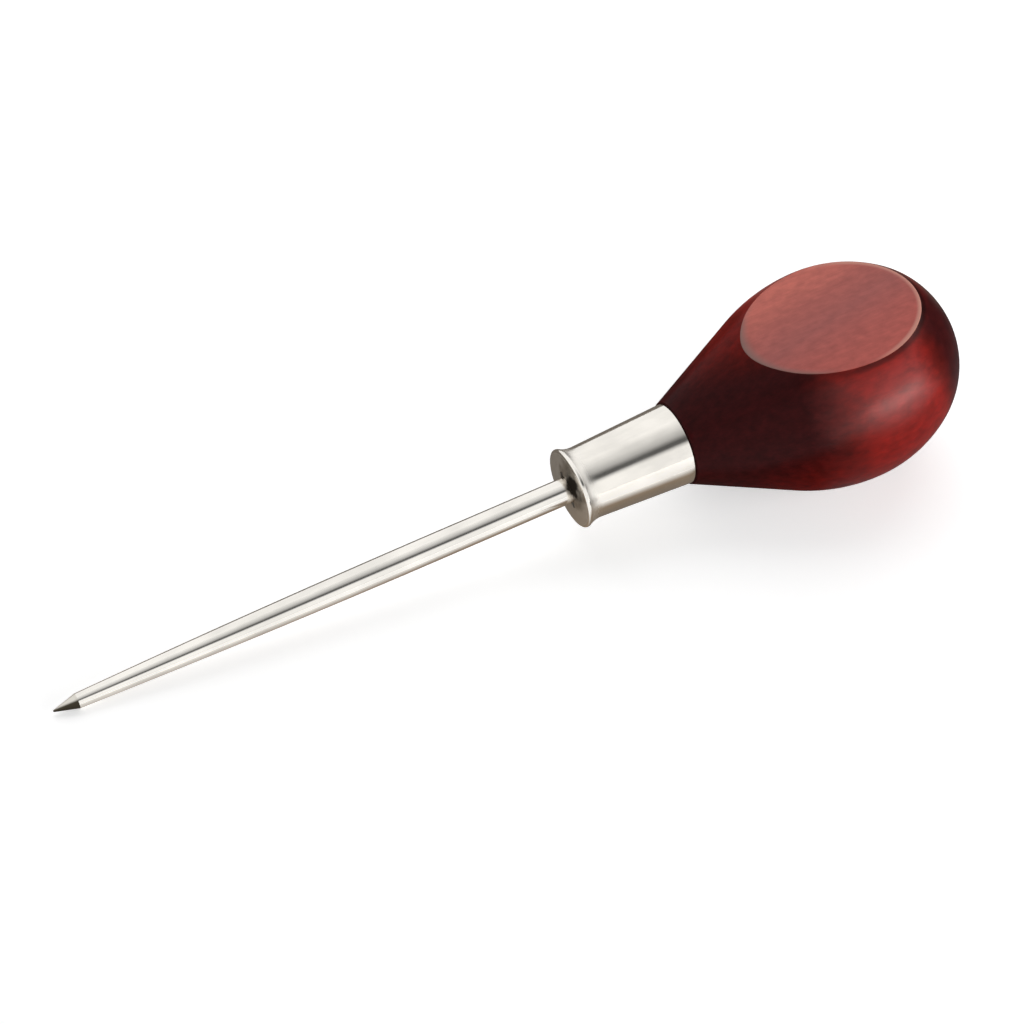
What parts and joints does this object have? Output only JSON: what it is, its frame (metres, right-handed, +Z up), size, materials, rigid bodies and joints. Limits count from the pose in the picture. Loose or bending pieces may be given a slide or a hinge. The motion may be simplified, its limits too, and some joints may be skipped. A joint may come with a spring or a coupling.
{
  "type": "bradawl",
  "caption": "Bradawl with a tapered round steel blade, a ground point, a lipped ferrule and a pear-shaped lacquered wood handle with planed flats, for piercing starter holes by hand.",
  "frame": {"origin": "on the bench that the tool lies on, under the middle of its length and width", "axes": "+X from the point towards the handle, +Z up from the bench; the tool's axis lies in the XZ plane and rises 5.96 degrees towards the handle, as it comes to rest on the heel of its ground point and the front edge of its lower flat"},
  "size_m": [0.199, 0.0454, 0.0378],
  "materials": {
    "plated_blade": "bright nickel plate over drawn steel, ground bare at the point",
    "plated_ferrule": "bright nickel plate with fine lengthwise drawing marks",
    "lacquered_wood": "red mahogany stain under gloss lacquer, satin on the flats",
    "adhesive": "cured clear adhesive"
  },
  "bodies": {
    "root": {"blade": "plated_blade", "ferrule": "plated_ferrule", "handle": "lacquered_wood", "tang_adhesive": "adhesive"}
  },
  "joints": []
}
